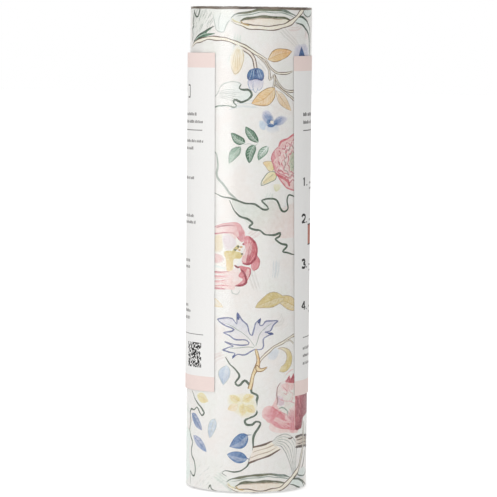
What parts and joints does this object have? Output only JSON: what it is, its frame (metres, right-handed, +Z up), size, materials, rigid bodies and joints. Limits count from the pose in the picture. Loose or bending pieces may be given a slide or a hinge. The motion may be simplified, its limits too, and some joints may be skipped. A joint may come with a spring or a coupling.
{
  "type": "fabric roll",
  "caption": "Short roll of floral printed fabric on a cardboard core, in a clear film sleeve, with a paper label band that slides and turns round it.",
  "frame": {"origin": "middle of the bottom end of the roll, on the axis of the core", "axes": "+Z up along the core's axis, -Y to the front, where the label is open and the print shows"},
  "size_m": [0.0774, 0.0768, 0.3],
  "materials": {
    "fabric": "smooth woven cotton, printed with flowers and leaves on warm white",
    "liner": "smooth brown kraft release paper, silicone-coated",
    "cardboard": "matt kraft board, spiral wound",
    "film": "clear shrunk film, semi-gloss with fine crinkles",
    "tape": "clear adhesive tape",
    "label": "uncoated off-white paper with pale pink end strips and grey print"
  },
  "bodies": {
    "roll": {"core_inner_ply": "cardboard", "core_middle_ply": "cardboard", "core_outer_ply": "cardboard", "core_start_tape": "tape", "fabric_windings": "fabric", "release_liner_last_turn": "liner", "fabric_last_turn": "fabric", "end_tape_bottom": "tape", "end_tape_middle": "tape", "end_tape_top": "tape"},
    "wrapping": {"clear_film": "film"},
    "label": {"label_band": "label"}
  },
  "joints": [
    {"name": "wrapping_turn", "type": "hinge", "parent": "roll", "child": "wrapping", "pos_m": [0, 0, 0], "axis": [0, 0, 1], "continuous": true},
    {"name": "label_slide", "type": "slide", "parent": "wrapping", "child": "label", "axis": [0, 0, 1], "range_m": [-0.058, 0.25]}
  ]
}
